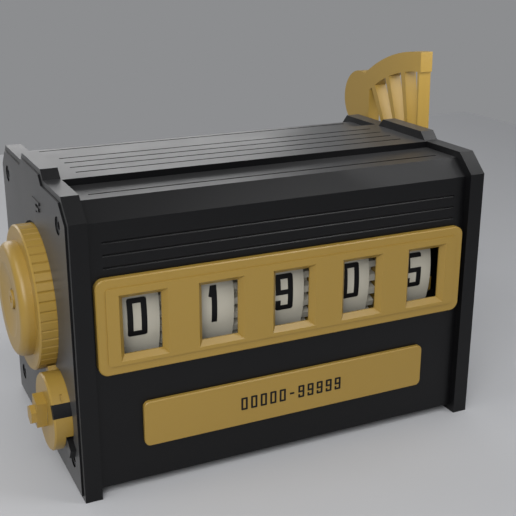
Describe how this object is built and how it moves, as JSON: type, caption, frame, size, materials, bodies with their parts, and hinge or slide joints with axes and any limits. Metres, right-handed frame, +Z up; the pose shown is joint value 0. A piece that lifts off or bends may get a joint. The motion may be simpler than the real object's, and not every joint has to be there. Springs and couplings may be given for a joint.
{
  "type": "mechanical counter",
  "caption": "Hand-operated mechanical counter: number wheels behind framed windows in a black case, with a thumb lever, a fluted reset knob, a selector and a gold nameplate.",
  "frame": {"origin": "middle of the whole object's footprint, on the ground under the case", "axes": "+X along the case towards the thumb lever, -Y towards the reader (the windows), +Z up"},
  "size_m": [0.172, 0.1024, 0.1308],
  "materials": {
    "black_plastic": "satin",
    "gold_plastic": "satin",
    "ivory_plastic": "satin",
    "black_print": "matte",
    "steel": "satin",
    "bronze": "satin",
    "spring_steel": "satin"
  },
  "bodies": {
    "case": {"left_end_cap": "black_plastic", "right_end_cap": "black_plastic", "case_shell": "black_plastic", "bottom_plate": "black_plastic", "left_cover_plate": "black_plastic", "right_cover_plate": "black_plastic", "window_bezel": "gold_plastic", "nameplate": "gold_plastic", "nameplate_numbers": "black_print", "left_cap_screws": "steel", "right_cap_screws": "steel", "bottom_screws": "steel", "left_bush": "bronze", "right_bush": "bronze", "guide_pins": "steel", "selector_stop": "black_plastic", "detent_rail": "steel", "detent_springs": "spring_steel", "lever_return_spring": "spring_steel"},
    "reset_shaft": {"main_shaft": "steel", "reset_knob": "gold_plastic", "reset_knob_screw": "steel"},
    "carriage": {"pinion_shaft": "steel", "pinion_spacers": "steel", "left_carriage_plate": "steel", "right_carriage_plate": "steel", "carriage_tie_rod": "steel"},
    "selector": {"selector_knob": "gold_plastic", "selector_cam": "steel", "selector_stem": "steel", "selector_index": "black_print", "selector_screw": "steel"},
    "thumb_lever": {"lever": "gold_plastic", "lever_sleeve": "steel", "lever_screw": "steel", "pawl_arm": "steel", "pawl_pin": "steel", "pawl_spring": "spring_steel"},
    "pawl": {"drive_pawl": "gold_plastic"},
    "wheel_1": {"number_wheel_1": "ivory_plastic", "numbers_1": "black_print"},
    "wheel_2": {"number_wheel_2": "ivory_plastic", "numbers_2": "black_print", "carry_disc_2": "gold_plastic"},
    "wheel_3": {"number_wheel_3": "ivory_plastic", "numbers_3": "black_print", "carry_disc_3": "gold_plastic"},
    "wheel_4": {"number_wheel_4": "ivory_plastic", "numbers_4": "black_print", "carry_disc_4": "gold_plastic"},
    "wheel_5": {"number_wheel_5": "ivory_plastic", "numbers_5": "black_print", "carry_disc_5": "gold_plastic", "ratchet_wheel": "ivory_plastic"},
    "pinion_1": {"carry_pinion_1": "gold_plastic"},
    "pinion_2": {"carry_pinion_2": "gold_plastic"},
    "pinion_3": {"carry_pinion_3": "gold_plastic"},
    "pinion_4": {"carry_pinion_4": "gold_plastic"}
  },
  "joints": [
    {"name": "wheel_1_turn", "type": "hinge", "parent": "case", "child": "wheel_1", "pos_m": [-0.05215, -0.00689, 0.0567], "axis": [-1, 0, 0], "continuous": true},
    {"name": "wheel_2_turn", "type": "hinge", "parent": "case", "child": "wheel_2", "pos_m": [-0.02575, -0.00689, 0.0567], "axis": [-1, 0, 0], "continuous": true},
    {"name": "wheel_3_turn", "type": "hinge", "parent": "case", "child": "wheel_3", "pos_m": [0.00065, -0.00689, 0.0567], "axis": [-1, 0, 0], "continuous": true},
    {"name": "wheel_4_turn", "type": "hinge", "parent": "case", "child": "wheel_4", "pos_m": [0.02705, -0.00689, 0.0567], "axis": [-1, 0, 0], "continuous": true},
    {"name": "wheel_5_turn", "type": "hinge", "parent": "case", "child": "wheel_5", "pos_m": [0.05345, -0.00689, 0.0567], "axis": [-1, 0, 0], "continuous": true},
    {"name": "reset_turn", "type": "hinge", "parent": "case", "child": "reset_shaft", "pos_m": [-0.07435, -0.00689, 0.0567], "axis": [-1, 0, 0], "continuous": true},
    {"name": "selector_turn", "type": "hinge", "parent": "case", "child": "selector", "pos_m": [-0.07435, -0.03023, 0.02458], "axis": [-1, 0, 0], "range_deg": [0, 60]},
    {"name": "carriage_slide", "type": "slide", "parent": "case", "child": "carriage", "axis": [0, 0.5878, 0.809], "range_m": [0, 0.0046]},
    {"name": "pinion_1_turn", "type": "hinge", "parent": "carriage", "child": "pinion_1", "pos_m": [-0.03915, -0.03405, 0.01932], "axis": [1, 0, 0], "continuous": true},
    {"name": "pinion_2_turn", "type": "hinge", "parent": "carriage", "child": "pinion_2", "pos_m": [-0.01275, -0.03405, 0.01932], "axis": [1, 0, 0], "continuous": true},
    {"name": "pinion_3_turn", "type": "hinge", "parent": "carriage", "child": "pinion_3", "pos_m": [0.01365, -0.03405, 0.01932], "axis": [1, 0, 0], "continuous": true},
    {"name": "pinion_4_turn", "type": "hinge", "parent": "carriage", "child": "pinion_4", "pos_m": [0.04005, -0.03405, 0.01932], "axis": [1, 0, 0], "continuous": true},
    {"name": "lever_press", "type": "hinge", "parent": "case", "child": "thumb_lever", "pos_m": [0.08065, -0.00689, 0.0567], "axis": [-1, 0, 0], "range_deg": [0, 36], "stiffness_Nm_per_rad": 0.03, "springref_deg": -28.65},
    {"name": "pawl_swing", "type": "hinge", "parent": "thumb_lever", "child": "pawl", "pos_m": [0.06365, -0.03561, 0.03945], "axis": [-1, 0, 0], "range_deg": [0, 12], "stiffness_Nm_per_rad": 0.002, "springref_deg": -5.73}
  ],
  "couplings": [
    {"joint": "selector_turn", "follows": "carriage_slide", "rad_per_m": 227.65}
  ]
}
